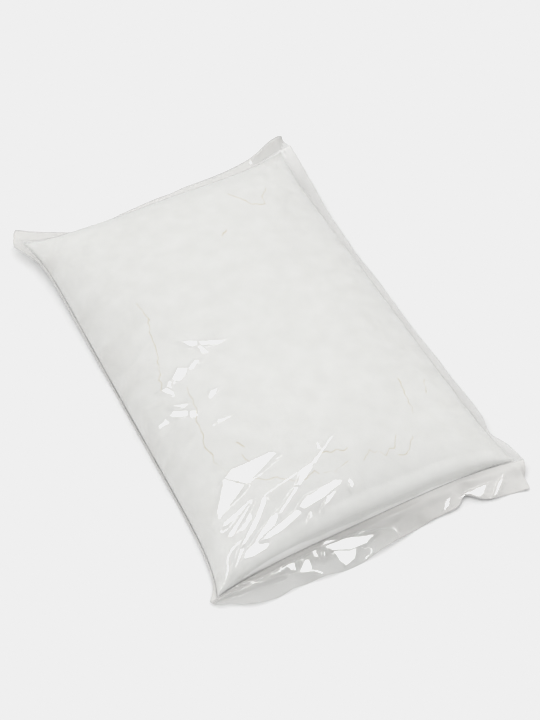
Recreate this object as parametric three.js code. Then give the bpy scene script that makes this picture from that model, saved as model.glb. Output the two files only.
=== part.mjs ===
// A sealed clear pouch of fine white sugar, lying on its back panel.
//
// Millimetres, +Z up. The pouch's width runs along X and its length along Y, with the wide loose
// flap at the -Y end. The table is z = 0, and the origin is the middle of the pouch's footprint.
//
// The pouch is one closed solid. Its front and back are worked out over the same grid (u, v):
// the filled part lies between u = -1 and 1 and v = -1 and 1, which are the four seams, and the
// sealed edges of the film stand out beyond them.

import * as THREE from 'three';

// ---- Filled part ----------------------------------------------------------------------------
const SEAM_WIDTH = 195; // between the corners of the filled part
const SEAM_LENGTH = 300;
const CROWN_HEIGHT = 38; // top of the filling above the table
const RIGHT_PULL_IN = 5; // how far the filling draws each seam in between its corners
const LEFT_PULL_IN = 7.4;
const FAR_PULL_IN = 9;
const NEAR_PULL_IN = 6;
const FOOT_INSET = 21; // from a seam in to where the back panel rests on the table
const SEAM_HEIGHTS = { nearLeft: 2, nearRight: 8, farLeft: 9, farRight: 12 }; // at the corners
const LEFT_SEAM_POWER = 5; // the left seam stays low, and turns up close to the far corner
const NEAR_BULGE = 2.5; // how far the near face leans out over its seam
const NEAR_BULGE_REACH = 8; // how far in from the seam the lean goes

// ---- Sealed edges of the film ---------------------------------------------------------------
const EDGE_THICKNESS = 0.8; // both layers together, with the air between them
const NEAR_FLAP_WIDTH = 17;
const FAR_FIN_WIDTH = 6;
const RIGHT_FIN_WIDTH = 5;
const LEFT_FIN_WIDTH = 0.8; // what shows of it, as the rest is tucked under the pouch
const LEFT_CORNER_ROUNDING = 0.45; // share of a side's edge that its corners lose
const RIGHT_CORNER_ROUNDING = 0.85;
const END_CORNER_ROUNDING = 0.45;
const FLAP_EDGE_HEIGHT = 1.2; // the flap droops until its edge all but touches the table

// ---- Folds of the film ----------------------------------------------------------------------
const UNDULATION = 0.9; // height of the broad swells on the front
const CORNER_FOLD_HEIGHT = 1; // folds that fan out from each corner of the filled part
const CORNER_FOLD_REACH = 34; // where they are highest, measured from the corner
const CORNER_FOLD_SPREAD = 26; // how fast they die away on both sides of that
const CORNER_FOLDS = 13; // how many would fit round a full turn
const PUCKER_HEIGHT = 0.9; // short gathers square to the long seams
const PUCKER_SPACING = 19;
const PUCKER_REACH = 11;
const FIN_WAVE_HEIGHT = 0.8;

// ---- Grid -----------------------------------------------------------------------------------
const CELLS_ACROSS = 30;
const CELLS_ALONG = 44;
const EDGE_CROWDING = 0.6; // 0 spaces the grid evenly, 1 crowds it against the seams
const FLAP_CELLS = 3;
const FIN_CELLS = 2;

const HALF_WIDTH = SEAM_WIDTH / 2;
const HALF_LENGTH = SEAM_LENGTH / 2;

const bump = ( t, centre, spread ) => Math.exp( - ( ( ( t - centre ) / spread ) ** 2 ) );
const within = THREE.MathUtils.clamp;
const mix = THREE.MathUtils.lerp;

// Each sealed edge has a width and a rise from the seam to its free edge, at a place t along it.
const nearFlap = {
	width: ( t ) => NEAR_FLAP_WIDTH + 5 * bump( t, - 0.2, 0.3 ) - 7 * bump( t, 0.63, 0.06 )
		- 12 * bump( t, - 1.02, 0.15 ) + 1.5 * bump( t, - 0.7, 0.15 ) - 2 * bump( t, 0.45, 0.2 ),
	rise: ( t ) => FLAP_EDGE_HEIGHT - seamHeight( t, - 1 ) + 1.6 * bump( t, 0.1, 0.16 )
		+ 1.4 * bump( t, 0.72, 0.12 ),
};
const farFin = {
	width: ( t ) => FAR_FIN_WIDTH + 2.5 * bump( t, 0.5, 0.22 ) - 3 * bump( t, - 0.45, 0.22 )
		+ 9 * bump( t, - 1.05, 0.2 ),
	rise: ( t ) => 9 * bump( t, 0.95, 0.18 ) - 5.5 * bump( t, - 0.56, 0.16 )
		+ FIN_WAVE_HEIGHT * Math.sin( 9 * t ),
};
const rightFin = {
	width: ( t ) => RIGHT_FIN_WIDTH + 5 * bump( t, 0.82, 0.24 ) - 3.5 * bump( t, - 0.84, 0.05 )
		+ 1.5 * bump( t, - 0.65, 0.15 ) + 1.5 * bump( t, - 0.97, 0.08 ),
	rise: ( t ) => 2.5 * bump( t, 1, 0.15 ) - 1.5 + FIN_WAVE_HEIGHT * Math.sin( 14 * t + 1 ),
};
const leftFin = {
	width: ( t ) => LEFT_FIN_WIDTH + 6 * bump( t, 1.03, 0.12 ) + 4 * bump( t, - 1.02, 0.05 ),
	rise: ( t ) => - 2 * bump( t, 0, 0.9 ),
};

// Height of the seams, between the heights at the four corners: even along the right seam, and by
// a high power along the left one.
function seamHeight( u, v ) {

	const { nearLeft, nearRight, farLeft, farRight } = SEAM_HEIGHTS;
	const s = within( ( u + 1 ) / 2, 0, 1 );
	const t = within( ( v + 1 ) / 2, 0, 1 );
	const left = mix( nearLeft, farLeft, t ** LEFT_SEAM_POWER );
	const right = mix( nearRight, farRight, t );
	return mix( left, right, s );

}

// Plan position of a point of the filled part: a rectangle whose sides draw in between its corners.
function plan( u, v ) {

	const endPull = v > 0 ? FAR_PULL_IN : NEAR_PULL_IN;
	const sidePull = u > 0 ? RIGHT_PULL_IN : LEFT_PULL_IN;
	const x = u * ( HALF_WIDTH - sidePull * ( 1 - v ** 8 ) );
	const y = v * ( HALF_LENGTH - endPull * ( 1 - u ** 4 ) );
	return new THREE.Vector2( x, y );

}

// Fullness of the filling, from 0 at a seam to 1 on the crown: steep near the seams, flat on top.
// The near end is a steep face with a crisp shoulder, and the other sides are round.
function fullness( u, v ) {

	const across = ( 1 - Math.abs( u ) ** 2.6 ) ** 0.62;
	const along = v < 0 ? ( 1 + v ** 3 ) ** 0.35 : ( 1 - v ** 4 ) ** 0.62;
	return across * along;

}

// Broad swells left by shaking the sugar flat.
function undulation( x, y ) {

	return UNDULATION * ( Math.sin( x / 23 + y / 41 ) * Math.cos( y / 29 - x / 67 )
		+ 0.5 * Math.sin( x / 13 - y / 19 + 2 ) );

}

// Folds that fan out from the corners of the filled part, where the film is drawn together.
function cornerFolds( u, v, x, y ) {

	const corner = plan( Math.sign( u ) || 1, Math.sign( v ) || 1 );
	const reach = Math.hypot( x - corner.x, y - corner.y );
	const turn = Math.atan2( y - corner.y, x - corner.x );
	return CORNER_FOLD_HEIGHT * Math.cos( CORNER_FOLDS * turn )
		* bump( reach, CORNER_FOLD_REACH, CORNER_FOLD_SPREAD );

}

// Short gathers along the two long seams.
function puckers( u, y ) {

	const inwards = ( 1 - Math.abs( u ) ) * HALF_WIDTH;
	return PUCKER_HEIGHT * Math.sin( 2 * Math.PI * y / PUCKER_SPACING + 2 * Math.sin( y / 31 ) )
		* Math.exp( - inwards / PUCKER_REACH );

}

// How far the near face leans out over its seam: a parabola over the reach, none at the corners.
function nearLean( u, v ) {

	const inwards = within( ( 1 + v ) * HALF_LENGTH / NEAR_BULGE_REACH, 0, 1 );
	return NEAR_BULGE * 4 * inwards * ( 1 - inwards ) * ( 1 - u ** 6 );

}

// Front and back of the filled part. The back lies flat on the table as far as FOOT_INSET from
// the seams, and curves up to them from there.
function filledPart( u, v ) {

	const { x, y } = plan( u, v );
	const seam = seamHeight( u, v );
	const full = fullness( u, v );
	const relief = undulation( x, y ) + cornerFolds( u, v, x, y ) + puckers( u, y );
	const toSeam = Math.min( ( 1 - Math.abs( u ) ) * HALF_WIDTH, ( 1 - Math.abs( v ) ) * HALF_LENGTH );
	const lift = Math.max( 0, 1 - toSeam / FOOT_INSET ) ** 2;
	return {
		x,
		y,
		lean: nearLean( u, v ),
		front: mix( seam, CROWN_HEIGHT, full ) + relief * Math.min( 1, 3 * full ),
		back: seam * lift,
	};

}

// A point of a sealed edge, a share of the way out from the seams to the free edges. Where two
// edges meet at a corner, both reach out together, and the corner between them is rounded off.
function sealedEdge( u, v, outU, outV ) {

	const seam = filledPart( u, v );
	const side = u > 0 ? rightFin : leftFin;
	const end = v > 0 ? farFin : nearFlap;
	const sideRounding = u > 0 ? RIGHT_CORNER_ROUNDING : LEFT_CORNER_ROUNDING;
	const both = Math.min( outU, outV );
	seam.x += Math.sign( u ) * outU * side.width( v ) * ( 1 - sideRounding * both );
	seam.y += Math.sign( v ) * outV * end.width( u ) * ( 1 - END_CORNER_ROUNDING * both );
	const rise = Math.max( outU, outV ) === 0 ? 0
		: ( outU * outU * side.rise( v ) + outV * outV * end.rise( u ) ) / Math.max( outU, outV );
	seam.front = Math.max( EDGE_THICKNESS / 2, seam.front + rise );
	seam.back = seam.front;
	return seam;

}

// Lines of the grid along one direction: how far out on the near or left edge, the place in the
// filled part, and how far out on the far or right edge.
function gridLines( cells, edgeCellsBelow, edgeCellsAbove ) {

	const lines = [];
	for ( let i = edgeCellsBelow; i > 0; i -- ) {

		lines.push( { place: - 1, out: i / edgeCellsBelow } );

	}

	for ( let i = 0; i <= cells; i ++ ) {

		const even = 2 * i / cells - 1;
		const crowded = Math.sin( even * Math.PI / 2 );
		lines.push( { place: mix( even, crowded, EDGE_CROWDING ), out: 0 } );

	}

	for ( let i = 1; i <= edgeCellsAbove; i ++ ) {

		lines.push( { place: 1, out: i / edgeCellsAbove } );

	}

	return lines;

}

// One closed solid from two faces over the same grid, joined by a narrow wall round the free edge.
function closedPouch( across, along ) {

	const columns = across.length;
	const rows = along.length;
	const positions = [];
	const backStart = columns * rows;
	const points = along.flatMap( ( b ) => across.map( ( a ) => ( a.out > 0 || b.out > 0
		? sealedEdge( a.place, b.place, a.out, b.out )
		: filledPart( a.place, b.place ) ) ) );
	points.forEach( ( p ) => positions.push( p.x, p.y - p.lean, p.front + EDGE_THICKNESS / 2 ) );
	points.forEach( ( p ) => positions.push( p.x, p.y, Math.max( 0, p.back - EDGE_THICKNESS / 2 ) ) );

	const faces = [];
	for ( let j = 0; j < rows - 1; j ++ ) {

		for ( let i = 0; i < columns - 1; i ++ ) {

			const a = j * columns + i;
			const b = a + 1;
			const c = a + columns;
			const d = c + 1;
			faces.push( a, b, d, a, d, c );
			faces.push( backStart + a, backStart + d, backStart + b );
			faces.push( backStart + a, backStart + c, backStart + d );

		}

	}

	const rim = [];
	for ( let i = 0; i < columns - 1; i ++ ) rim.push( i );
	for ( let j = 0; j < rows - 1; j ++ ) rim.push( j * columns + columns - 1 );
	for ( let i = columns - 1; i > 0; i -- ) rim.push( ( rows - 1 ) * columns + i );
	for ( let j = rows - 1; j > 0; j -- ) rim.push( j * columns );
	rim.forEach( ( a, k ) => {

		const b = rim[ ( k + 1 ) % rim.length ];
		faces.push( a, backStart + a, backStart + b, a, backStart + b, b );

	} );

	const geometry = new THREE.BufferGeometry();
	geometry.setAttribute( 'position', new THREE.Float32BufferAttribute( positions, 3 ) );
	geometry.setIndex( faces );
	return geometry;

}

// Moves the pouch so that the origin is the middle of its footprint.
function centreOnFootprint( geometry ) {

	geometry.computeBoundingBox();
	const middle = geometry.boundingBox.getCenter( new THREE.Vector3() );
	geometry.translate( - middle.x, - middle.y, 0 );
	geometry.computeVertexNormals();
	return geometry;

}

const whiteUnderFilm = new THREE.MeshStandardMaterial( { color: 0xe8e8e5, roughness: 0.35, metalness: 0 } );
const across = gridLines( CELLS_ACROSS, FIN_CELLS, FIN_CELLS );
const along = gridLines( CELLS_ALONG, FLAP_CELLS, FIN_CELLS );
const sugarBag = new THREE.Mesh( centreOnFootprint( closedPouch( across, along ) ), whiteUnderFilm );
sugarBag.name = 'sugar_bag';

const bag = new THREE.Group();
bag.add( sugarBag );

export default bag;
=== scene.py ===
"""A sealed clear pouch of fine white sugar, lying on its back panel.

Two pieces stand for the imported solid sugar_bag: the film, a closed envelope whose front and back
panels are sealed on four sides, and the sugar inside it. Both are worked out over the same grid
(u, v) as the solid: u runs across the filled part and v along it, each from -1 at one seam to 1
at the other, and the sealed edges stand out beyond the seams. Lengths are in millimetres until a
mesh is made, and the middle of the seams is the origin until then.
"""
import math
from collections import namedtuple

import bmesh
import bpy
import numpy as np
from bpy.props import FloatProperty, FloatVectorProperty, PointerProperty
from mathutils import Matrix, Vector


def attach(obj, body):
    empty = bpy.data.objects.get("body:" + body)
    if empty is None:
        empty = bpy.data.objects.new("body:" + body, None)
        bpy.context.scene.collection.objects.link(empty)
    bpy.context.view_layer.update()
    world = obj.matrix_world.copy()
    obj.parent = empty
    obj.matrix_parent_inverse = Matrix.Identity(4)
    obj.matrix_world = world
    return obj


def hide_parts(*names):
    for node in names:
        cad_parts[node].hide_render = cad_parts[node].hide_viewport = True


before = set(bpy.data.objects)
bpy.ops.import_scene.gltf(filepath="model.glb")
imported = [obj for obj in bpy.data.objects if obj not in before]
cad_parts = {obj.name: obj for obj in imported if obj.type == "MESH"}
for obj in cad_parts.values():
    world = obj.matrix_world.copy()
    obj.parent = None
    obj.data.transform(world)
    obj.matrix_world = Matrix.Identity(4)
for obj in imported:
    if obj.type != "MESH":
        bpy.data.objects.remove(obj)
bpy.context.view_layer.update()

bl_info = {
    "name": "Pouch of Sugar",
    "version": (1, 0, 0),
    "blender": (4, 5, 0),
    "location": "3D View > Sidebar > Pouch",
    "description": "Makes a clear film pouch of fine white sugar and a studio for it",
    "category": "Add Mesh",
}

NODE = "sugar_bag"
BODY = "root"
MM = 0.001

# ---- Photo's camera, with lengths in mm from the middle of the seams ----
PHOTO_SIZE = (540, 720)  # in pixels
LENS, SENSOR = 70.0, 36.0  # the focal length, and the longer side of the frame
CAMERA_AZIMUTH, CAMERA_ELEVATION = math.radians(-27.06), math.radians(50.28)
CAMERA_DISTANCE = 885.4
CAMERA_TARGET = (7.23, -9.29)  # the point that it looks at, on the floor
PIXELS_AT_ONE = PHOTO_SIZE[1] * LENS / SENSOR  # taken up by a thing as wide as it is far off
MM_PER_PIXEL = CAMERA_DISTANCE / PIXELS_AT_ONE  # at the pouch, square to the line of sight

# ---- Long soft light overhead, in m ----
STRIP_DIRECTION = (-0.29, 0.06, 0.955)  # from the pouch up to the middle of the light
STRIP_DISTANCE = 3.0
STRIP_SIZE = (3.2, 0.15)

# ---- Room ----
DIM_END = (-0.29, -0.57, 0.77)  # from the pouch to the middle of the dim patch of the room
FLOOR_SIZE = 12.0  # in m
CLIP = 0.863  # the brightest that the picture gets, as its white is a little grey

# ---- Filled part, in mm ----
SEAM_MIDDLE = (-0.706, 1.275)  # where the middle of the seams lies in the frame
HALF_WIDTH = 97.5
HALF_LENGTH = 150.0
CROWN_HEIGHT = 38.0
RIGHT_PULL_IN, LEFT_PULL_IN = 5.0, 7.4
FAR_PULL_IN, NEAR_PULL_IN = 9.0, 6.0
POWERS_ACROSS = (2.6, 0.62)  # of the shoulders at the sides
POWERS_NEAR, POWERS_FAR = (3.0, 0.35), (4.0, 0.62)  # and at the two ends
FOOT_INSET = 21.0
NEAR_BULGE, NEAR_BULGE_REACH = 2.5, 8.0  # how far the near face leans out over the seam
NEAR_BULGE_POWERS = (6, 1)  # of the shoulder by which it leans less towards its ends
NEAR_LEFT, NEAR_RIGHT, FAR_LEFT, FAR_RIGHT = 2.0, 8.0, 9.0, 12.0  # heights of the seam's corners
LEFT_SEAM_POWER = 5  # the left seam stays low, and turns up close to the far corner

# ---- Sealed edges, in mm ----
NEAR_FLAP_WIDTH = 17.0
FAR_FIN_WIDTH = 6.0
RIGHT_FIN_WIDTH = 5.0
LEFT_FIN_WIDTH = 0.8
LEFT_CORNER_ROUNDING, RIGHT_CORNER_ROUNDING, END_CORNER_ROUNDING = 0.45, 0.85, 0.45
FLAP_EDGE_HEIGHT = 1.2
FIN_WAVE_HEIGHT = 0.8
FAR_WAVES, RIGHT_WAVES = 9, 14  # in radians for each unit of u or v
FILM_THICKNESS = 0.24  # of a sealed edge, both layers together
FILM_FLOOR = 0.1  # the back panel's height above the surface it lies on

# Bells are added to plain widths and rises. Each has its height in mm, and its place and spread in
# units of u or v.
FLAP_WIDTH_BELLS = (
    (5, -0.2, 0.3), (-7, 0.63, 0.06), (-12, -1.02, 0.15), (1.5, -0.7, 0.15), (-2, 0.45, 0.2),
)
FLAP_RISE_BELLS = ((1.6, 0.1, 0.16), (1.4, 0.72, 0.12))
FAR_WIDTH_BELLS = ((2.5, 0.5, 0.22), (-3, -0.45, 0.22), (9, -1.05, 0.2))
FAR_RISE_BELLS = ((9, 0.95, 0.18), (-5.5, -0.56, 0.16))
RIGHT_WIDTH_BELLS = ((5, 0.82, 0.24), (-3.5, -0.84, 0.05), (1.5, -0.65, 0.15), (1.5, -0.97, 0.08))
RIGHT_RISE, RIGHT_RISE_BELLS = -1.5, ((2.5, 1, 0.15),)
LEFT_WIDTH_BELLS = ((6, 1.03, 0.12), (4, -1.02, 0.05))
LEFT_RISE_BELLS = ((-2, 0, 0.9),)

# ---- Haze of the film, from 0 where it is clear; it also paints light and shade ----
# The flap's dullness is partly its own dust and partly painted light: it grows towards the right and
# along the seam, which lightens the shade seen through the flap there
FLAP_HAZE, FLAP_PAINTED_LIGHT_GROWTH, FLAP_HAZE_AND_LIGHT_LIMIT = 0.08, 1.7, 1.4
FLAP_SEAM_HAZE_AND_LIGHT, FLAP_SEAM_SPREAD = 0.6, 0.35
# The left sealed edge is fully dull: partly its own dullness, partly painted light over the contact
# shadow seen through it
RIGHT_HAZE, LEFT_HAZE_AND_LIGHT, FAR_LEFT_HAZE, FAR_HAZE = 0.2, 1.0, 0.6, 0.8  # of the other sealed edges
# Painted shade: dull facets of film on the flanks darken them towards the side seams, fading over a reach
# in mm
FLANK_PAINTED_SHADE, FLANK_PAINTED_SHADE_REACH = 0.6, 15
FLANK_PAINTED_SHADE_FACETS = (10, 15)  # their size in mm, and a seed

# ---- Folds of the film, in mm ----
UNDULATION = 0.9
PUCKER_HEIGHT, PUCKER_SPACING, PUCKER_REACH = 0.7, 19.0, 11.0

# Crumples lie over one another in layers, each with its height, the size of its facets and a seed.
TOP_CRUMPLES = ((0.12, 21, 11), (0.05, 8, 12))
FLANK_CRUMPLES = ((0.9, 11, 13), (0.35, 6, 14))
END_CRUMPLES = ((0.5, 14, 16),)
FLAP_CRUMPLES = ((2.2, 12, 21), (0.7, 5, 22))
FIN_CRUMPLES = ((0.7, 11, 23),)
FLANK_SLACK = 1.0  # how far the film stands off the filling at the sides, on average
FLANK_REACH, END_REACH = 16, 22  # how far in from a seam the crumples are felt
PUFF_DEPTH, PUFF_START, PUFF_REACH = 0.8, 3, 12  # of the film's puffs on the near face
PUFF_FACETS = (11, 17)  # their size, and a seed
POCKET_DEPTH = 1.0  # half the gap between the two panels just outside the near seam
POCKET_PLACE, POCKET_SPREAD = 0.28, 0.16  # as shares of the flap's width
RELIEF_GROWTH, CRUMPLE_GROWTH = 3, 4  # how fast the swells and crumples set in with the fullness

# Folds and facets lie where the photo shows them: their places are pixels of it, read from its top
# left corner, and their sizes are real ones.
#
# A fold runs down the photo along a path. On its left lies a facet of the given width, which climbs
# to the crest by slopes, from the first at the path's start to the second at its end. On its right
# the film falls away over the tail. The facet is widest at the share of the path that widest gives,
# and the fold dies out towards both ends.
Fold = namedtuple("Fold", "path width slopes tail widest")
FOLD_MARGIN = 2  # in pixels: the mesh is fine over this much more beside a fold
FOLDS = {
    "crease into the near left corner": Fold(
        [(243, 542), (238, 558), (233, 574)], 2.2, (0.2, 0.24), 3.0, 0.5
    ),
    "crease along the long streak": Fold(
        [(300, 486), (279, 515), (250, 551)], 3.0, (0.05, 0.26), 4.0, 0.55
    ),
    "crease over the broad streaks": Fold(
        [(328, 446), (308, 466), (286, 480), (266, 494), (252, 518)], 6.0, (0.1, 0.1), 6.0, 0.5
    ),
    "crease along the shoulder": Fold(
        [(303, 508), (282, 528), (262, 542), (243, 560)], 3.0, (0.3, 0.38), 4.0, 0.6
    ),
}

# A facet is a flat patch of taut film, given by its corners. It is turned so that it mirrors the
# long soft light, and rests on the highest point of the smooth film under it.
FACET_SKIRT = 1.6  # outside its corners a facet falls back to the smooth film over this distance
FACET_REFINEMENT = 2.2  # the mesh is fine within this distance of a facet
FACET_CUTS = 3  # across each cell of the mesh there
FACET_REST = 0.3  # the film holds a facet up as far out as this from its sides
FACETS = {
    "broad patch, upper part": [(277, 454), (270, 453), (232, 470), (221, 484), (243, 487), (257, 474)],
    "broad patch, lower part": [(224, 480), (217, 512), (218, 517), (220, 518), (245, 486)],
    "first streak": [(253, 500), (250, 500), (223, 524), (223, 527), (226, 526), (252, 504)],
    "second streak": [(249, 506), (229, 534), (229, 536), (231, 537), (234, 534), (250, 507)],
    "third streak": [(264, 499), (243, 543), (242, 546), (245, 545), (256, 529), (267, 500)],
    "third streak, tip": [(242, 545), (234, 571), (236, 571), (246, 544)],
    "long streak, top": [(332, 436), (311, 463), (313, 465), (333, 438)],
    "long streak, fork": [(316, 442), (319, 450), (322, 449), (318, 443)],
    "long streak, wide part": [(312, 463), (303, 468), (297, 485), (300, 486), (304, 481), (312, 468)],
    "long streak, narrow part": [(298, 483), (279, 513), (281, 515), (301, 484)],
    "long streak, foot": [(277, 511), (262, 530), (251, 549), (257, 545), (275, 525), (278, 517)],
    "shoulder, right part": [
        (342, 480), (335, 480), (305, 498), (299, 508), (304, 511), (322, 500), (341, 484),
    ],
    "shoulder, middle part": [(300, 507), (268, 534), (262, 541), (268, 542), (284, 532), (305, 510)],
    "shoulder, left part": [
        (268, 538), (256, 542), (246, 552), (243, 561), (252, 559), (267, 551), (274, 539),
    ],
    "shoulder, spur": [(336, 485), (327, 497), (323, 509), (329, 504), (338, 489)],
    "speck right of the shoulder": [(349, 479), (350, 487), (352, 490), (354, 486), (352, 480)],
    "speck under the shoulder": [(310, 512), (309, 521), (313, 518), (312, 512)],
    "first wing, left part": [(181, 344), (190, 342), (199, 342), (200, 345), (197, 348), (189, 347)],
    "first wing, right part": [(199, 343), (215, 341), (224, 340), (218, 344), (200, 347)],
    "first wing, hook": [(197, 348), (203, 353), (208, 352), (201, 347)],
    "second wing, middle": [(172, 380), (178, 370), (187, 369), (187, 373), (180, 380), (175, 382)],
    "second wing, top": [(187, 370), (192, 369), (200, 361), (195, 361)],
    "second wing, neck": [(166, 389), (168, 383), (172, 382), (171, 389)],
    "second wing, foot": [(160, 394), (167, 390), (172, 392), (175, 396), (165, 395)],
    "third wing, middle": [(169, 419), (175, 413), (190, 411), (190, 414), (181, 418), (172, 420)],
    "third wing, right end": [(190, 412), (197, 411), (197, 416), (192, 418), (190, 416)],
    "third wing, left end": [(158, 428), (166, 420), (169, 423), (160, 430)],
    "third wing, upper line": [(171, 409), (173, 407), (187, 404), (184, 408)],
    "upper glint on the crown": [(209, 397), (210, 392), (218, 389), (216, 393), (211, 398)],
    "lower glint on the crown": [(216, 423), (219, 419), (228, 417), (223, 421)],
    "flap, glint on the seam": [(246, 582), (252, 581), (258, 583), (252, 583)],
    "flap, line along the pocket": [(259, 582), (271, 579), (284, 576), (285, 577), (260, 583)],
    "flap, first tick": [(261, 580), (262, 577), (263, 577), (263, 580)],
    "flap, second tick": [(265, 579), (266, 577), (267, 577), (266, 579)],
    "flap, third tick": [(271, 576), (271, 573), (272, 573), (272, 576)],
    "flap, fourth tick": [(275, 574), (276, 571), (277, 571), (277, 574)],
    "flap, fifth tick": [(280, 572), (280, 567), (281, 567), (281, 572)],
    "flap, sixth tick": [(283, 570), (284, 567), (285, 567), (284, 570)],
    "flap, light band under the crease": [(322, 545), (325, 541), (345, 539), (346, 541), (326, 546)],
    "flap, first glint": [(286, 565), (294, 563), (297, 571), (291, 571)],
    "flap, second glint": [(299, 573), (305, 559), (309, 559), (312, 567), (307, 573)],
    "flap, third glint": [(312, 551), (316, 550), (319, 558), (315, 557)],
    "flap, fourth glint": [(323, 552), (325, 552), (326, 555), (324, 559)],
    "flap, broad glint": [(325, 546), (346, 538), (376, 535), (366, 545), (350, 551), (333, 551)],
    "flap, glint at its edge": [(334, 551), (357, 549), (356, 559), (346, 567), (341, 562)],
    "flap, narrow glint": [(445, 510), (447, 500), (451, 497), (450, 505)],
    "flap, glint near its right end": [
        (459, 498), (475, 489), (487, 485), (484, 495), (480, 500), (464, 502),
    ],
    "flap, last glint": [(493, 498), (497, 485), (504, 473), (503, 482), (497, 497)],
}

# ---- Sugar, in mm ----
SUGAR_GAP = 0.4  # between the sugar and the film
SUGAR_INSET = 0.5  # from the seams in to where the sugar ends
SUGAR_EDGE_RADIUS = 1.5
SUGAR_RIM = 0.02  # half the thickness at its very edge
SUGAR_RIPPLES = ((0.1, 14, 21), (0.05, 5, 22))  # each with its height, its length and a seed
CRACK_REFINEMENT = 2.5  # the mesh is fine within this distance of a crack
CRACK_CUTS = 5  # across each cell of the mesh there
CRACK_FLOOR = CROWN_HEIGHT / 3  # the cracks are on the top, above this height
CRACK_JAG, CRACK_JAG_LENGTH = 0.45, 5  # how far a crack strays to both sides of its path
CRACK_OPENING, CRACK_OPENING_SWING, CRACK_OPENING_LENGTH = 0.7, 0.3, 22
CRACKS = {  # their paths, as pixels of the photo too
    "thin crack left of the crown": [
        (137, 304), (142, 310), (149, 320), (150, 333), (153, 341), (157, 351), (158, 364),
        (160, 377), (162, 391),
    ],
    "long crack": [
        (187, 387), (188, 393), (192, 399), (197, 410), (196, 418), (201, 431), (204, 437),
        (203, 442), (205, 448), (213, 455), (214, 462), (220, 467), (227, 472), (231, 476),
        (243, 478), (254, 477), (265, 480), (277, 477), (292, 480), (299, 480), (307, 478),
        (314, 471), (320, 474),
    ],
    "end of the long crack": [(324, 473), (329, 471), (333, 471), (340, 467), (348, 462)],
    "short crack under the patch": [(221, 486), (233, 485), (239, 482)],
    "upper short crack by the patch": [(237, 442), (243, 447)],
    "lower short crack by the patch": [(242, 455), (246, 460), (251, 462)],
    "crack right of the long streak": [(320, 452), (329, 452), (338, 450), (344, 451), (348, 447)],
    "fork": [(364, 460), (367, 454), (370, 450), (374, 452), (377, 450)],
    "zigzag": [(380, 452), (386, 455), (389, 449), (394, 448), (396, 436)],
    "hook": [(399, 455), (407, 453), (410, 447), (412, 436)],
    "thin crack on the right": [(398, 378), (408, 400), (414, 412)],
    "short crack on the right": [(424, 380), (426, 392)],
    "far star, long ray": [(228, 194), (240, 198), (252, 204), (265, 204)],
    "far star, upper ray": [(266, 188), (262, 196), (265, 204)],
    "far short crack": [(226, 230), (222, 236)],
}

# ---- Grids: the places of the stops between the seams, and the cells between them ----
FILM_ACROSS = ((-1, -0.9, 0, 1), (14, 62, 40))
FILM_ALONG = ((-1, -0.6, -0.25, 0.1, 1), (50, 36, 36, 54))
FIN_CELLS, FLAP_CELLS = 5, 20
SUGAR_ACROSS = ((-1, -0.9, 0.9, 1), (14, 110, 14))
SUGAR_ALONG = ((-1, -0.9, 0.9, 1), (20, 150, 14))


def bump(t, centre, spread):
    """A bell: e to the power of minus the square of the distance from centre over spread."""
    return np.exp(-(((t - centre) / spread) ** 2))


def bells(plain, t, places):
    """A plain value with a bell added at each place, of the height given for it."""
    return sum((height * bump(t, centre, spread) for height, centre, spread in places), plain)


def mix(a, b, share):
    return a + (b - a) * share


def unit(vectors):
    return vectors / np.linalg.norm(vectors, axis=-1, keepdims=True)


def camera_axes():
    """Directions to the right and up in the photo, and back from the pouch to the camera."""
    level = math.cos(CAMERA_ELEVATION)
    back = np.array([
        math.sin(CAMERA_AZIMUTH) * level, -math.cos(CAMERA_AZIMUTH) * level, math.sin(CAMERA_ELEVATION),
    ])
    right = np.array([math.cos(CAMERA_AZIMUTH), math.sin(CAMERA_AZIMUTH), 0])
    return right, np.cross(back, right), back


def camera_place():
    return np.array([*CAMERA_TARGET, 0]) + camera_axes()[2] * CAMERA_DISTANCE


def in_photo(x, y, z):
    """Where points show in the photo, in pixels from its top left corner: how far they lie to the
    right of the line of sight and below it, over how far they lie along it."""
    right, up, back = camera_axes()
    away = np.stack([x, y, z], -1) - camera_place()
    scale = -PIXELS_AT_ONE / (away @ back)
    return PHOTO_SIZE[0] / 2 + scale * (away @ right), PHOTO_SIZE[1] / 2 - scale * (away @ up)


def strip_axes():
    """Directions along the long soft light, across it, and from the pouch to its middle."""
    direction = unit(np.array(STRIP_DIRECTION))
    along = np.array([1, 0, 0]) - direction[0] * direction
    return unit(along), np.cross(direction, unit(along)), direction


def mirror_slopes(place, natural):
    """Slopes at which flat film at a place mirrors the middle line of the long soft light to the
    camera: it then faces half way between the two. Of the points on that line, the one counts
    whose slopes are nearest to the natural ones."""
    along, _, direction = strip_axes()
    steps = np.linspace(-0.45, 0.45, 181)[:, None] * STRIP_SIZE[0]
    lamps = (direction * STRIP_DISTANCE + steps * along) / MM - [*SEAM_MIDDLE, 0]
    facing = unit(lamps - place) + unit(camera_place() - place)
    slopes = -facing[:, :2] / facing[:, 2:]
    return slopes[np.argmin(np.linalg.norm(slopes - natural, axis=-1))]


def ripples(x, y, wavelength, seed, waves=9):
    """Even, aimless waves: the sum of plane waves in all directions, each a sine whose length is
    near wavelength, with a phase of its own. It stays within about -1 and 1."""
    draw = np.random.default_rng(seed)
    turn = draw.uniform(0, 2 * np.pi, waves)
    phase = draw.uniform(0, 2 * np.pi, waves)
    number = 2 * np.pi / (wavelength * draw.uniform(0.7, 1.4, waves))
    total = np.zeros_like(x)
    for k, angle, start in zip(number, turn, phase):
        total += np.sin(k * (x * np.cos(angle) + y * np.sin(angle)) + start)
    return total * math.sqrt(2 / waves) / 1.6


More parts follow.
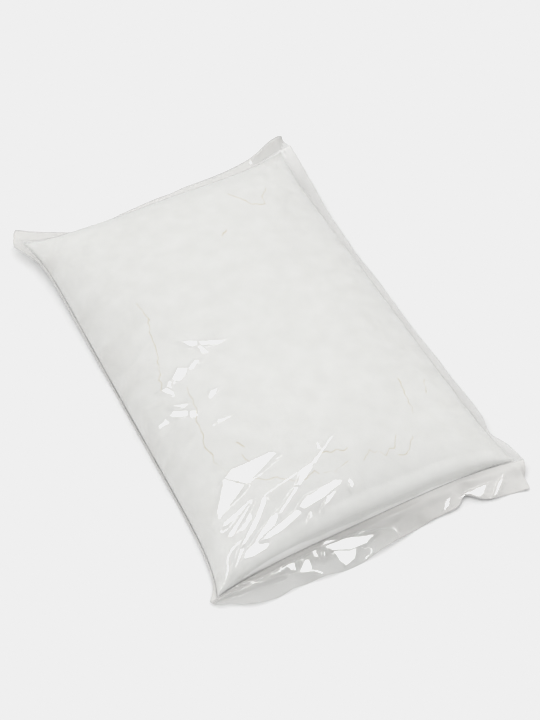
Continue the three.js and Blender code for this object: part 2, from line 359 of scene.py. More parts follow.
def seam_height(u, v):
    """Height of the seams: between the heights at the four corners, even along the right seam and
    by a high power along the left one."""
    s = np.clip((u + 1) / 2, 0, 1)
    t = np.clip((v + 1) / 2, 0, 1)
    left = mix(NEAR_LEFT, FAR_LEFT, t**LEFT_SEAM_POWER)
    return mix(left, mix(NEAR_RIGHT, FAR_RIGHT, t), s)


def plan(u, v):
    """Plan of the filled part: a rectangle whose sides draw in between its corners, by the eighth
    power of v along the long sides and the fourth power of u along the ends."""
    side_pull = np.where(u > 0, RIGHT_PULL_IN, LEFT_PULL_IN)
    end_pull = np.where(v > 0, FAR_PULL_IN, NEAR_PULL_IN)
    x = u * (HALF_WIDTH - side_pull * (1 - v**8))
    y = v * (HALF_LENGTH - end_pull * (1 - u**4))
    return x, y


def shoulder(t, powers):
    """From 1 in the middle to 0 at a seam: 1 less the first power of |t|, to the second power."""
    return np.maximum(0, 1 - np.abs(t) ** powers[0]) ** powers[1]


def fullness(u, v):
    """How full the pouch is, from 0 at a seam to 1 on the crown: the product of two shoulders."""
    along = np.where(v < 0, shoulder(v, POWERS_NEAR), shoulder(v, POWERS_FAR))
    return shoulder(u, POWERS_ACROSS) * along


def undulation(x, y):
    """Broad swells left by shaking the sugar flat: two products of sines."""
    return UNDULATION * (
        np.sin(x / 23 + y / 41) * np.cos(y / 29 - x / 67) + 0.5 * np.sin(x / 13 - y / 19 + 2)
    )


def puckers(u, y):
    """Gathers square to the long seams: a sine along y that dies away with the distance in."""
    inwards = (1 - np.abs(u)) * HALF_WIDTH
    wave = np.sin(2 * np.pi * y / PUCKER_SPACING + 2 * np.sin(y / 31))
    return PUCKER_HEIGHT * wave * np.exp(-inwards / PUCKER_REACH)


def beside_path(x, y, path):
    """Distance from a path in the photo, positive on the left of a path that runs down it, and the
    share of the path passed by then. Each leg of the path gives the distance to its nearest point,
    and the nearest leg counts."""
    corners = np.array(path, float)
    legs = np.diff(corners, axis=0)
    lengths = np.hypot(legs[:, 0], legs[:, 1])
    nearest = np.full(x.shape, np.inf)
    signed = np.zeros(x.shape)
    share = np.zeros(x.shape)
    passed = 0.0
    for (x0, y0), (dx, dy), length in zip(corners[:-1], legs, lengths):
        along = np.clip(((x - x0) * dx + (y - y0) * dy) / length**2, 0, 1)
        off_x = x - x0 - along * dx
        off_y = y - y0 - along * dy
        distance = np.hypot(off_x, off_y)
        left = np.where(dx * off_y - dy * off_x >= 0, 1.0, -1.0)
        closer = distance < nearest
        nearest = np.where(closer, distance, nearest)
        signed = np.where(closer, left * distance, signed)
        share = np.where(closer, (passed + along * length) / lengths.sum(), share)
        passed += length
    return signed, share


def fold_height(x, y, fold):
    """Height of a fold at places in the photo. Its size along the path is a sine arch, made fuller
    by a power and bent so that it peaks at widest. The facet's width and height both go by that
    size, so that its slope doesn't fall off at the ends."""
    side, share = beside_path(x, y, fold.path)
    side = side * MM_PER_PIXEL
    bend = math.log(0.5) / math.log(fold.widest)
    size = np.sin(np.pi * np.clip(share, 0, 1) ** bend) ** 0.6 + 1e-6
    facet = np.clip(1 - side / (fold.width * size), 0, 1)
    profile = np.where(side >= 0, facet, bump(side, 0, fold.tail))
    return mix(*fold.slopes, share) * fold.width * size * profile


def outside(x, y, corners):
    """Distance outside a convex polygon in the photo, negative inside it: the largest of the
    distances from the lines through its sides. Its corners may run either way round."""
    corners = np.array(corners, float)
    onward = np.roll(corners, -1, axis=0)
    if np.sum(corners[:, 0] * onward[:, 1] - onward[:, 0] * corners[:, 1]) < 0:
        corners = corners[::-1]
    furthest = np.full(x.shape, -np.inf)
    for (x0, y0), (x1, y1) in zip(corners, np.roll(corners, -1, axis=0)):
        length = math.hypot(x1 - x0, y1 - y0)
        furthest = np.maximum(furthest, ((y1 - y0) * (x - x0) - (x1 - x0) * (y - y0)) / length)
    return furthest


def facet_rise(x, y, z, corners):
    """How far a facet lifts the film: up to its plane, which touches the film's highest point under
    it, with the share that is left of the skirt outside its corners. The film's natural slopes are
    those of the plane that fits it best there, by least squares."""
    beside = outside(*in_photo(x, y, z), corners) * MM_PER_PIXEL
    under = np.stack([x, y, z], -1)[beside < FACET_SKIRT]
    middle = under.mean(axis=0)
    natural = np.linalg.lstsq(under[:, :2] - middle[:2], under[:, 2] - middle[2], rcond=None)[0]
    slopes = mirror_slopes(middle, natural)
    tilt = slopes[0] * x + slopes[1] * y
    plane = tilt + np.max(z - tilt, where=beside < FACET_REST, initial=-np.inf)
    share = np.clip(1 - beside / FACET_SKIRT, 0, 1)
    return share * np.maximum(0, plane - z)


def crumple(x, y, cell, seed):
    """Flat facets with sharp creases: a lattice of triangles whose corners have random heights
    between -1 and 1, each facet being the plane through its three corners. The lattice is bent a
    little by ripples, so that the creases don't line up."""
    bent_x = x + 0.35 * cell * ripples(x, y, 5 * cell, seed)
    bent_y = y + 0.35 * cell * ripples(x, y, 5 * cell, seed + 1)
    p = (bent_x + bent_y / math.sqrt(3)) / cell
    q = 2 * bent_y / math.sqrt(3) / cell
    i, j = np.floor(p).astype(int), np.floor(q).astype(int)
    s, t = p - i, q - j
    heights = np.random.default_rng(seed).uniform(-1, 1, (64, 64))
    corner = heights[i % 64, j % 64]
    opposite = heights[(i + 1) % 64, (j + 1) % 64]
    right = heights[(i + 1) % 64, j % 64]
    above = heights[i % 64, (j + 1) % 64]
    lower = corner + s * (right - corner) + t * (opposite - right)
    upper = corner + t * (above - corner) + s * (opposite - above)
    return np.where(s > t, lower, upper)


def layered(pattern, x, y, layers, start=0):
    """Layers of crumples or ripples, one over the other: the sum of each times its height."""
    return sum((height * pattern(x, y, size, seed) for height, size, seed in layers), start)


def filled_front(u, v):
    """Front of the filled part without the film's folds: from the seam's height to the crown's as
    the fullness grows, with the swells and the gathers. The near face leans out by a parabola."""
    x, y = plan(u, v)
    full = fullness(u, v)
    relief = undulation(x, y) + puckers(u, y)
    inwards = np.clip((1 + v) * HALF_LENGTH / NEAR_BULGE_REACH, 0, 1)
    y = y - NEAR_BULGE * 4 * inwards * (1 - inwards) * shoulder(u, NEAR_BULGE_POWERS)
    relief = relief * np.minimum(1, RELIEF_GROWTH * full)
    return x, y, mix(seam_height(u, v), CROWN_HEIGHT, full) + relief


def filled_back(u, v):
    """Back of the filled part: flat as far as FOOT_INSET from the seams, then up to them by the
    square of the distance."""
    to_seam = np.minimum((1 - np.abs(u)) * HALF_WIDTH, (1 - np.abs(v)) * HALF_LENGTH)
    return seam_height(u, v) * np.maximum(0, 1 - to_seam / FOOT_INSET) ** 2


def end_edge(u, v):
    """Width and rise of the sealed edge at the ends: bells on a plain width, at places along u."""
    flap_width = bells(NEAR_FLAP_WIDTH, u, FLAP_WIDTH_BELLS)
    flap_rise = bells(FLAP_EDGE_HEIGHT - seam_height(u, -1.0), u, FLAP_RISE_BELLS)
    fin_width = bells(FAR_FIN_WIDTH, u, FAR_WIDTH_BELLS)
    fin_rise = bells(0, u, FAR_RISE_BELLS) + FIN_WAVE_HEIGHT * np.sin(FAR_WAVES * u)
    return np.where(v > 0, fin_width, flap_width), np.where(v > 0, fin_rise, flap_rise)


def side_edge(u, v):
    """Width and rise of the sealed edge at the sides: bells on a plain width, at places along v."""
    right_width = bells(RIGHT_FIN_WIDTH, v, RIGHT_WIDTH_BELLS)
    right_rise = bells(RIGHT_RISE, v, RIGHT_RISE_BELLS) + FIN_WAVE_HEIGHT * np.sin(RIGHT_WAVES * v + 1)
    left_width = bells(LEFT_FIN_WIDTH, v, LEFT_WIDTH_BELLS)
    left_rise = bells(0, v, LEFT_RISE_BELLS)
    return np.where(u > 0, right_width, left_width), np.where(u > 0, right_rise, left_rise)


def grid_lines(spacing, cells_below, cells_above):
    """Lines of a grid in one direction: the place between the seams, evenly spaced between stops,
    and the share of the way out over the sealed edges at both ends."""
    stops, cells = spacing
    spans = [np.linspace(a, b, n, endpoint=False) for a, b, n in zip(stops[:-1], stops[1:], cells)]
    place = np.concatenate([np.full(cells_below, -1.0), *spans, np.full(cells_above + 1, 1.0)])
    below = np.arange(cells_below, 0, -1) / max(cells_below, 1)
    above = np.arange(1, cells_above + 1) / max(cells_above, 1)
    out = np.concatenate([below, np.zeros(sum(cells) + 1), above])
    return place, out


def film_haze_and_painted_shading(x, y, u, v, out_u, out_v):
    """How dull the film is, which also paints light and shade. The flap grows duller from left to right
    and is dull along its seam, partly its own dust and partly painted light over the shade seen through
    it; the other edges are evenly dull, the left one fully, which lightens the shadow seen through it;
    and the flanks have dull facets that die away from the seam, painted shade that darkens them."""
    # Painted light: the flap is duller, and so lighter, towards the right and along its seam over the
    # shade seen through it, on top of its own dust
    flap = FLAP_HAZE + FLAP_PAINTED_LIGHT_GROWTH * np.clip(u + 0.1, 0, 1)
    flap = np.minimum(FLAP_HAZE_AND_LIGHT_LIMIT, flap + FLAP_SEAM_HAZE_AND_LIGHT * bump(out_v, 0, FLAP_SEAM_SPREAD))
    # Painted light: the left edge is fully dull, which lightens the shadow seen through it
    side = np.where(u > 0, RIGHT_HAZE, np.where(v < 0.85, LEFT_HAZE_AND_LIGHT, FAR_LEFT_HAZE))
    fin = np.where(out_v > out_u, FAR_HAZE, side)
    edge = np.where((v < 0) & (out_v > 0), flap, fin)
    inwards = (1 - np.abs(u)) * HALF_WIDTH
    # Painted shade: dull facets darken the flanks towards the side seams
    facets = np.clip(crumple(x, y, *FLANK_PAINTED_SHADE_FACETS), 0, 1)
    flank = FLANK_PAINTED_SHADE * facets * np.exp(-inwards / FLANK_PAINTED_SHADE_REACH)
    return np.where(np.maximum(out_u, out_v) > 0, edge, flank)


def film_surfaces():
    """Front and back panel of the film, and how dull each point is, which also paints light and shade.
    The filled part is crumpled on top, and its near face is puffed outwards, more so towards the right.
    A sealed edge goes out from its seam by its width and up by its rise, with its corners rounded off,
    and the two panels are a film's thickness apart there, but for a pocket along the near seam."""
    across, out_across = grid_lines(FILM_ACROSS, FIN_CELLS, FIN_CELLS)
    along, out_along = grid_lines(FILM_ALONG, FLAP_CELLS, FIN_CELLS)
    u, v = np.meshgrid(across, along)
    out_u, out_v = np.meshgrid(out_across, out_along)

    x, y, front = filled_front(u, v)
    filled = np.minimum(1, CRUMPLE_GROWTH * fullness(u, v))
    inwards = (1 - np.abs(u)) * HALF_WIDTH
    from_near_seam = (1 + v) * HALF_LENGTH
    top = layered(crumple, x, y, TOP_CRUMPLES)
    end = layered(crumple, x, y, END_CRUMPLES) * np.exp(-from_near_seam / END_REACH)
    flank = layered(crumple, x, y, FLANK_CRUMPLES) + FLANK_SLACK
    slack = filled * np.exp(-inwards / FLANK_REACH)
    puffs = np.clip(from_near_seam / PUFF_START, 0, 1) * np.exp(-from_near_seam / PUFF_REACH)
    puffs = puffs * shoulder(u, NEAR_BULGE_POWERS)
    puff_relief = 1 + crumple(x, 1.5 * front, *PUFF_FACETS)
    y = y - PUFF_DEPTH * puff_relief * puffs * np.clip(0.5 + u, 0, 1)
    front = front + filled * (top + end) + slack * flank
    back = filled_back(u, v)

    side_width, side_rise = side_edge(u, v)
    end_width, end_rise = end_edge(u, v)
    both = np.minimum(out_u, out_v)
    furthest = np.maximum(np.maximum(out_u, out_v), 1e-9)
    side_rounding = np.where(u > 0, RIGHT_CORNER_ROUNDING, LEFT_CORNER_ROUNDING)
    x = x + np.sign(u) * out_u * side_width * (1 - side_rounding * both)
    y = y + np.sign(v) * out_v * end_width * (1 - END_CORNER_ROUNDING * both)
    rise = (out_u**2 * side_rise + out_v**2 * end_rise) / furthest
    on_flap = np.where(v < 0, out_v, 0.0)
    flap_relief = layered(crumple, x, y, FLAP_CRUMPLES)
    fin_relief = layered(crumple, x, y, FIN_CRUMPLES)
    edge = front + rise + on_flap * flap_relief + (furthest * (1 - on_flap)) * fin_relief
    sealed = np.maximum(out_u, out_v) > 0
    lowest = FILM_FLOOR + FILM_THICKNESS / 2
    middle = np.maximum(lowest, edge)
    pocket = POCKET_DEPTH * bump(on_flap, POCKET_PLACE, POCKET_SPREAD) * (1 - out_u)
    front = np.where(sealed, middle + pocket, front) + FILM_THICKNESS / 2
    back = np.where(sealed, np.maximum(lowest, middle - pocket), back) - FILM_THICKNESS / 2
    back = np.maximum(FILM_FLOOR, back)
    haze_and_painted_shading = film_haze_and_painted_shading(x, y, u, v, out_u, out_v)
    return np.stack([x, y, front], -1), np.stack([x, y, back], -1), haze_and_painted_shading


def sugar_surfaces():
    """Top and underside of the sugar: a gap inside the film, ending a little in from the seams in a
    rounded edge whose thickness grows as a quarter circle."""
    across, _ = grid_lines(SUGAR_ACROSS, 0, 0)
    along, _ = grid_lines(SUGAR_ALONG, 0, 0)
    u, v = np.meshgrid(across * (1 - SUGAR_INSET / HALF_WIDTH), along * (1 - SUGAR_INSET / HALF_LENGTH))
    x, y, top = filled_front(u, v)
    under = filled_back(u, v) + FILM_FLOOR
    top = layered(ripples, x, y, SUGAR_RIPPLES, top) - SUGAR_GAP
    under = under + SUGAR_GAP / 2
    to_edge = np.minimum(
        (1 - np.abs(u)) * HALF_WIDTH, (1 - np.abs(v)) * HALF_LENGTH
    ) - SUGAR_INSET
    inwards = np.clip(to_edge / SUGAR_EDGE_RADIUS, 0, 1)
    thickness = np.sqrt(1 - (1 - inwards) ** 2)
    middle = (top + under) / 2
    half = np.maximum(SUGAR_RIM, (top - under) / 2 * thickness)
    return np.stack([x, y, middle + half], -1), np.stack([x, y, middle - half], -1)


def closed_sheet(name, front, back):
    """A closed mesh from two grids of points: the front's faces look up, the back's look down, and
    a narrow wall joins them round the rim. The points are in mm from the middle of the seams."""
    rows, columns = front.shape[:2]
    points = np.concatenate([front.reshape(-1, 3), back.reshape(-1, 3)])
    points[:, :2] += SEAM_MIDDLE
    index = np.arange(rows * columns).reshape(rows, columns)
    a, b, c, d = index[:-1, :-1], index[:-1, 1:], index[1:, 1:], index[1:, :-1]
    up = np.stack([a, b, c, d], -1).reshape(-1, 4)
    down = up[:, ::-1] + rows * columns
    rim = np.concatenate([index[0, :-1], index[:-1, -1], index[-1, :0:-1], index[:0:-1, 0]])
    onward = np.roll(rim, -1)
    wall = np.stack([rim, rim + rows * columns, onward + rows * columns, onward], -1)
    mesh = bpy.data.meshes.new(name)
    mesh.from_pydata(points * MM, [], np.concatenate([up, down, wall]).tolist())
    mesh.shade_smooth()
    mesh.validate()
    piece = bpy.data.objects.new(name, mesh)
    bpy.context.scene.collection.objects.link(piece)
    return piece


def mesh_points(mesh):
    """All points of a mesh as an array, in mm from the middle of the seams."""
    points = np.empty(len(mesh.vertices) * 3)
    mesh.vertices.foreach_get("co", points)
    points = points.reshape(-1, 3) / MM
    points[:, :2] -= SEAM_MIDDLE
    return points


def crack_distance(x, y, z):
    """Distance to the nearest crack, as the camera sees it."""
    across, down = in_photo(x, y, z)
    distances = [np.abs(beside_path(across, down, path)[0]) for path in CRACKS.values()]
    return np.min(distances, axis=0) * MM_PER_PIXEL


def refine(mesh, near, cuts):
    """Cuts the edges between near points, and so the faces there into smaller ones."""
    shape = bmesh.new()
    shape.from_mesh(mesh)
    shape.verts.ensure_lookup_table()
    edges = [e for e in shape.edges if near[e.verts[0].index] and near[e.verts[1].index]]
    bmesh.ops.subdivide_edges(shape, edges=edges, cuts=cuts, use_grid_fill=True)
    shape.to_mesh(mesh)
    shape.free()


def read_points(mesh, attribute):
    """The values of an attribute of a mesh's points."""
    values = np.empty(len(mesh.vertices))
    mesh.attributes[attribute].data.foreach_get("value", values)
    return values


def write_points(mesh, attribute, values):
    mesh.attributes.new(attribute, "FLOAT", "POINT").data.foreach_set("value", values.ravel())


def move_points(mesh, points):
    """Puts the points of a mesh at new places, given in mm from the middle of the seams."""
    points[:, :2] += SEAM_MIDDLE
    mesh.vertices.foreach_set("co", (points * MM).ravel())
    mesh.update()


def fold_film(mesh):
    """Lifts the front panel to the folds and the facets, on a mesh that is made finer near them."""
    across, down = in_photo(*mesh_points(mesh).T)
    near_folds = [
        np.abs(beside_path(across, down, fold.path)[0]) - FOLD_MARGIN for fold in FOLDS.values()
    ]
    near_facets = [outside(across, down, corners) for corners in FACETS.values()]
    near = np.min(near_folds + near_facets, axis=0) * MM_PER_PIXEL < FACET_REFINEMENT
    refine(mesh, near & (read_points(mesh, "panel") > 0.5), FACET_CUTS)
    points = mesh_points(mesh)
    front = read_points(mesh, "panel") > 0.5
    x, y, z = points[front].T
    across, down = in_photo(x, y, z)
    z = z + sum(fold_height(across, down, fold) for fold in FOLDS.values())
    rises = [facet_rise(x, y, z, corners) for corners in FACETS.values()]
    points[front, 2] = z + np.max(rises, axis=0)
    move_points(mesh, points)


def cut_cracks(mesh, depth, width):
    """Lowers the top along the cracks by a narrow bell, jagged by ripples of the plan and opened
    unevenly by others, and keeps how open each crack is as the attribute crack, by which the
    sugar's finish paints shade into the cracks."""
    points = mesh_points(mesh)
    x, y, z = points.T
    jag_x = x + CRACK_JAG * ripples(x, y, CRACK_JAG_LENGTH, 31)
    jag_y = y + CRACK_JAG * ripples(x, y, CRACK_JAG_LENGTH, 32)
    opening = bump(crack_distance(jag_x, jag_y, z), 0, width) * (z > CRACK_FLOOR)
    swing = CRACK_OPENING_SWING * ripples(x, y, CRACK_OPENING_LENGTH, 33)
    opening *= np.clip(CRACK_OPENING + swing, 0, 1)
    points[:, 2] -= depth * opening
    write_points(mesh, "crack", opening)
    move_points(mesh, points)


# ---- Materials ----
class Socket:
    """A number that a node gives. An expression on it adds the Math nodes that work it out."""

    def __init__(self, finish, output):
        self.finish = finish
        self.output = output

    def maths(self, operation, first, second):
        return self.finish.node("Math", {"operation": operation}, {0: first, 1: second})

    def __add__(self, other):
        return self.maths("ADD", self, other)

    def __sub__(self, other):
        return self.maths("SUBTRACT", self, other)

    def __rsub__(self, other):
        return self.maths("SUBTRACT", other, self)

    def __mul__(self, other):
        return self.maths("MULTIPLY", self, other)

    def __pow__(self, other):
        return self.maths("POWER", self, other)

    def __rpow__(self, other):
        return self.maths("POWER", other, self)

    __radd__ = __add__
    __rmul__ = __mul__


class Finish:
    """The node tree of a material or a world."""

    def __init__(self, owner):
        owner.use_nodes = True
        self.tree = owner.node_tree
        self.tree.nodes.clear()

    def node(self, kind, settings=None, inputs=None, output=0):
        """Adds a shader node: its settings first, then the values or links of its sockets."""
        made = self.tree.nodes.new("ShaderNode" + kind)
        for name, value in (settings or {}).items():
            setattr(made, name, value)
        for name, value in (inputs or {}).items():
            if isinstance(value, Socket):
                self.tree.links.new(value.output, made.inputs[name])
            else:
                made.inputs[name].default_value = value
        return Socket(self, made.outputs[output]) if made.outputs else None


def film_finish(look):
    """Clear glossy film: what the two faces of a thin sheet mirror, which grows by the fifth power
    of the slant, is mirror, and the rest is seen through."""
    material = bpy.data.materials.new("clear_film")
    finish = Finish(material)
    slant = finish.node("LayerWeight", inputs={"Blend": 0.5}, output="Facing")
    mirror = look.reflectance + (1 - look.reflectance) * slant**5
    place = finish.node("TexCoord", output="Object")
    grain = finish.node("TexNoise", inputs={"Vector": place, "Scale": 260.0, "Detail": 3.0})
    bumps = finish.node(
        "Bump", inputs={"Height": grain, "Strength": 0.12, "Distance": 0.0004}
    )
    clear = finish.node("BsdfTransparent", inputs={"Color": (*look.clearness, 1)})
    gloss = finish.node(
        "BsdfPrincipled",
        inputs={
            "Base Color": (1, 1, 1, 1),
            "Metallic": 1.0,
            "Roughness": look.roughness,
            "Normal": bumps,
        },
    )
    dull = finish.node(
        "BsdfPrincipled",
        inputs={"Base Color": (*look.haze_colour, 1), "Roughness": 0.5, "Specular IOR Level": 0.0},
    )
    # The film is dull by its attribute: its own dullness and dust, and painted light and shade, lighter
    # over shade seen through the sealed edges and darker on the flanks
    haze_and_painted_shading = finish.node("Attribute", {"attribute_name": "haze_and_painted_shading"}, output="Fac")
    skin = finish.node("MixShader", inputs={0: haze_and_painted_shading * look.haze_and_painted_shading, 1: clear, 2: dull})
    skin = finish.node("MixShader", inputs={0: mirror, 1: skin, 2: gloss})
    finish.node("OutputMaterial", inputs={"Surface": skin})
    return material


def sugar_finish(look):
    """Fine white powder: matt, faintly mottled, with painted shade in a tan tone along the cracks."""
    material = bpy.data.materials.new("powdered_sugar")
    finish = Finish(material)
    place = finish.node("TexCoord", output="Object")
    mottle = finish.node("TexNoise", inputs={"Vector": place, "Scale": 90.0, "Detail": 5.0})
    patchy = 2.2 * mottle - 0.6  # spreads the noise over most of the way from 0 to 1
    powder = finish.node("TexNoise", inputs={"Vector": place, "Scale": 1400.0, "Detail": 2.0})
    crack = finish.node("Attribute", {"attribute_name": "crack"}, output="Fac")
    shade = finish.node(
        "Mix",
        {"data_type": "RGBA"},
        {"Factor": patchy, 6: (*look.shade_colour, 1), 7: (*look.colour, 1)},
        output=2,
    )
    # Painted shade: the powder turns a dark tan along the cracks, by how open each is
    colour = finish.node(
        "Mix",
        {"data_type": "RGBA"},
        {"Factor": crack, 6: shade, 7: (*look.painted_crack_shade, 1)},
        output=2,
    )
    bumps = finish.node(
        "Bump", inputs={"Height": powder + mottle, "Strength": 0.35, "Distance": 0.0003}
    )
    matt = finish.node(
        "BsdfPrincipled",
        inputs={"Base Color": colour, "Roughness": 0.9, "Specular IOR Level": 0.15, "Normal": bumps},
    )
    finish.node("OutputMaterial", inputs={"Surface": matt})
    return material


def floor_finish(colour):
    material = bpy.data.materials.new("pale_floor")
    finish = Finish(material)
    matt = finish.node(
        "BsdfPrincipled",
        inputs={"Base Color": (*colour, 1), "Roughness": 1.0, "Specular IOR Level": 0.0},
    )
    finish.node("OutputMaterial", inputs={"Surface": matt})
    return material


# ---- Settings ----
class FilmSettings(bpy.types.PropertyGroup):
    reflectance: FloatProperty(
        name="Reflectance", description="Share of light that the film mirrors square on",
        default=0.085, min=0, max=1, subtype="FACTOR",
    )
    roughness: FloatProperty(
        name="Roughness", description="How much the film blurs what it mirrors",
        default=0.06, min=0, max=1, subtype="FACTOR",
    )
    clearness: FloatVectorProperty(
        name="Clearness", description="Colour of the light that one layer of film lets through",
        default=(0.92, 0.92, 0.915), min=0, max=1, subtype="COLOR",
    )
    # This also sets the strength of the painted light and shade that the film's dullness carries
    haze_and_painted_shading: FloatProperty(
        name="Haze", description="How dull one layer of film is where its attribute haze is 1",
        default=0.62, min=0, max=1, subtype="FACTOR",
    )
    haze_colour: FloatVectorProperty(
        name="Haze colour", description="Colour of the film where it is dull",
        default=(0.84, 0.83, 0.81), min=0, max=1, subtype="COLOR",
    )


class SugarSettings(bpy.types.PropertyGroup):
    colour: FloatVectorProperty(
        name="Colour", description="Colour of the powder",
        default=(0.97, 0.97, 0.96), min=0, max=1, subtype="COLOR",
    )
    shade_colour: FloatVectorProperty(
        name="Shade", description="Colour of the powder where it is a little denser",
        default=(0.925, 0.925, 0.91), min=0, max=1, subtype="COLOR",
    )
    # Painted shade inside the cracks, in a tan tone
    painted_crack_shade: FloatVectorProperty(
        name="Crack colour", description="Colour inside the cracks",
        default=(0.72, 0.62, 0.42), min=0, max=1, subtype="COLOR",
    )
    crack_depth: FloatProperty(
        name="Crack depth", description="Depth of the cracks",
        default=0.3 * MM, min=0, subtype="DISTANCE", unit="LENGTH",
    )
    crack_width: FloatProperty(
        name="Crack width", description="Half width of the cracks",
        default=0.18 * MM, min=0, subtype="DISTANCE", unit="LENGTH",
    )


class StudioSettings(bpy.types.PropertyGroup):
    floor_colour: FloatVectorProperty(
        name="Floor", description="Colour of the floor",
        default=(0.95, 0.95, 0.95), min=0, max=1, subtype="COLOR",
    )
    horizon: FloatProperty(
        name="Horizon", description="Brightness of the room at the height of the floor",
        default=0.695, min=0,
    )
    overhead: FloatProperty(
        name="Overhead", description="How much brighter the room is straight overhead",
        default=0.565, min=0,
    )
    dimming: FloatProperty(
        name="Dimming", description="How much darker the room is at its near end",
        default=0.883, min=0,
    )
    strip_power: FloatProperty(
        name="Strip light", description="Power of the long soft light overhead",
        default=10.0, min=0, unit="POWER",
    )
    lens: FloatProperty(
        name="Lens", description="Focal length on a 36 mm frame", default=LENS, subtype="DISTANCE_CAMERA",
    )
    azimuth: FloatProperty(
        name="Azimuth", description="Where the camera stands round the pouch",
        default=CAMERA_AZIMUTH, subtype="ANGLE",
    )
    elevation: FloatProperty(
        name="Elevation", description="How high the camera stands above the floor",
        default=CAMERA_ELEVATION, subtype="ANGLE",
    )
    distance: FloatProperty(
        name="Distance", description="From the camera to the point it looks at",
        default=CAMERA_DISTANCE * MM, subtype="DISTANCE", unit="LENGTH",
    )


# ---- Operators ----
def wear(piece, material):
    """Finishes a piece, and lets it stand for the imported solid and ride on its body."""
    piece.data.materials.append(material)
    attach(piece, BODY)
    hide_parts(NODE)


class POUCH_OT_make_sugar(bpy.types.Operator):
    """Make the sugar inside the pouch"""

    bl_idname = "pouch.make_sugar"
    bl_label = "Make Sugar"

    def execute(self, context):
        look = context.scene.pouch_sugar
        piece = closed_sheet("sugar", *sugar_surfaces())
        points = mesh_points(piece.data)
        near = crack_distance(*points.T) < CRACK_REFINEMENT
        refine(piece.data, near & (points[:, 2] > CRACK_FLOOR), CRACK_CUTS)
        cut_cracks(piece.data, look.crack_depth / MM, look.crack_width / MM)
        wear(piece, sugar_finish(look))
        return {"FINISHED"}


class POUCH_OT_make_film(bpy.types.Operator):
    """Make the clear film of the pouch"""

    bl_idname = "pouch.make_film"
    bl_label = "Make Film"

    def execute(self, context):
        front, back, haze_and_painted_shading = film_surfaces()
        piece = closed_sheet("film", front, back)
        # The dullness carries painted light and shade too
        write_points(piece.data, "haze_and_painted_shading", np.stack([haze_and_painted_shading, haze_and_painted_shading]))
        write_points(piece.data, "panel", np.stack([np.ones_like(haze_and_painted_shading), np.zeros_like(haze_and_painted_shading)]))
        fold_film(piece.data)
        wear(piece, film_finish(context.scene.pouch_film))
        return {"FINISHED"}


def turned_to(place, target):
    """A matrix that stands at place with its -Z towards target and its X level."""
    away = (place - target).normalized()
    right = Vector((0, 0, 1)).cross(away).normalized()
    up = away.cross(right)
    return Matrix.Translation(place) @ Matrix((right, up, away)).transposed().to_4x4()


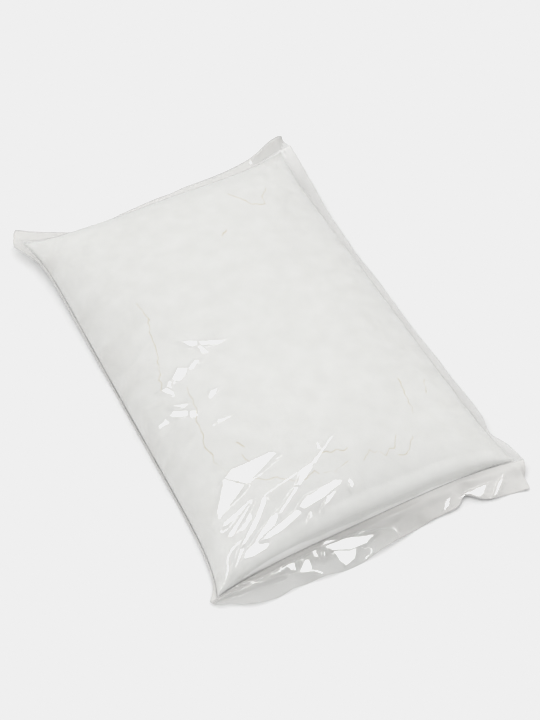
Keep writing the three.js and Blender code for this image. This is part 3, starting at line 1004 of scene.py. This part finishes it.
class POUCH_OT_set_stage(bpy.types.Operator):
    """Set up the floor, the lights and the camera"""

    bl_idname = "pouch.set_stage"
    bl_label = "Set Stage"

    def execute(self, context):
        scene = context.scene
        studio = scene.pouch_studio
        self.lay_floor(scene, studio)
        self.hang_lights(scene, studio)
        self.place_camera(scene, studio)
        self.set_exposure(scene)
        return {"FINISHED"}

    def lay_floor(self, scene, studio):
        half = FLOOR_SIZE / 2
        mesh = bpy.data.meshes.new("floor")
        corners = [(-half, -half, 0), (half, -half, 0), (half, half, 0), (-half, half, 0)]
        mesh.from_pydata(corners, [], [(0, 1, 2, 3)])
        mesh.materials.append(floor_finish(studio.floor_colour))
        floor = bpy.data.objects.new("floor", mesh)
        floor.visible_glossy = False  # the film mirrors the room alone
        scene.collection.objects.link(floor)

    def hang_lights(self, scene, studio):
        strip = bpy.data.lights.new("strip", "AREA")
        strip.shape = "RECTANGLE"
        strip.size, strip.size_y = STRIP_SIZE
        strip.energy = studio.strip_power
        lamp = bpy.data.objects.new("strip", strip)
        axes = Matrix(strip_axes())
        lamp.matrix_world = Matrix.Translation(axes[2] * STRIP_DISTANCE) @ axes.transposed().to_4x4()
        scene.collection.objects.link(lamp)
        scene.world = self.room(studio)

    def room(self, studio):
        """A soft room that brightens evenly from the horizon up, with a dim patch at its near end
        that fades by the sixth power of the cosine of the angle from its middle."""
        world = bpy.data.worlds.new("room")
        world.use_nodes = True
        sky = Finish(world)
        direction = sky.node("TexCoord", output="Generated")
        height = sky.node("SeparateXYZ", inputs={"Vector": direction}, output="Z")
        towards_dim_end = sky.node(
            "VectorMath", {"operation": "DOT_PRODUCT"}, {0: direction, 1: DIM_END}, output="Value"
        )
        dim = towards_dim_end.maths("MAXIMUM", towards_dim_end, 0) ** 6
        light = studio.horizon + studio.overhead * height.maths("MAXIMUM", height, 0)
        light = light - studio.dimming * dim
        glow = sky.node("Background", inputs={"Color": (1, 1, 1, 1), "Strength": light})
        sky.node("OutputWorld", inputs={"Surface": glow})
        return world

    def place_camera(self, scene, studio):
        lens = bpy.data.cameras.new("camera")
        lens.lens = studio.lens
        lens.sensor_width = SENSOR
        lens.clip_end = 100.0
        camera = bpy.data.objects.new("camera", lens)
        target = Vector((CAMERA_TARGET[0] + SEAM_MIDDLE[0], CAMERA_TARGET[1] + SEAM_MIDDLE[1], 0)) * MM
        level = math.cos(studio.elevation)
        back = Vector((
            math.sin(studio.azimuth) * level, -math.cos(studio.azimuth) * level,
            math.sin(studio.elevation),
        ))
        camera.matrix_world = turned_to(target + back * studio.distance, target)
        scene.collection.objects.link(camera)
        scene.camera = camera

    def set_exposure(self, scene):
        scene.view_settings.view_transform = "Standard"
        scene.view_settings.use_curve_mapping = True
        curve = scene.view_settings.curve_mapping
        combined = curve.curves[3]
        combined.points[0].location = (0.0, 0.0)
        combined.points[1].location = (CLIP, CLIP)
        combined.points.new(1.0, CLIP)
        for point in combined.points:
            point.handle_type = "VECTOR"
        curve.extend = "HORIZONTAL"
        curve.update()


class POUCH_PT_sidebar(bpy.types.Panel):
    """The pouch's settings and steps"""

    bl_label = "Pouch of Sugar"
    bl_space_type = "VIEW_3D"
    bl_region_type = "UI"
    bl_category = "Pouch"

    def draw(self, context):
        for settings, operator in (
            (context.scene.pouch_sugar, POUCH_OT_make_sugar),
            (context.scene.pouch_film, POUCH_OT_make_film),
            (context.scene.pouch_studio, POUCH_OT_set_stage),
        ):
            box = self.layout.box()
            for name in settings.__annotations__:
                box.prop(settings, name)
            box.operator(operator.bl_idname)


CLASSES = (
    FilmSettings, SugarSettings, StudioSettings,
    POUCH_OT_make_sugar, POUCH_OT_make_film, POUCH_OT_set_stage, POUCH_PT_sidebar,
)


def register():
    for cls in CLASSES:
        bpy.utils.register_class(cls)
    bpy.types.Scene.pouch_film = PointerProperty(type=FilmSettings)
    bpy.types.Scene.pouch_sugar = PointerProperty(type=SugarSettings)
    bpy.types.Scene.pouch_studio = PointerProperty(type=StudioSettings)


def unregister():
    del bpy.types.Scene.pouch_film
    del bpy.types.Scene.pouch_sugar
    del bpy.types.Scene.pouch_studio
    for cls in reversed(CLASSES):
        bpy.utils.unregister_class(cls)


def main():
    register()
    bpy.ops.pouch.make_sugar()
    bpy.ops.pouch.make_film()
    bpy.ops.pouch.set_stage()


if __name__ == "__main__":
    main()
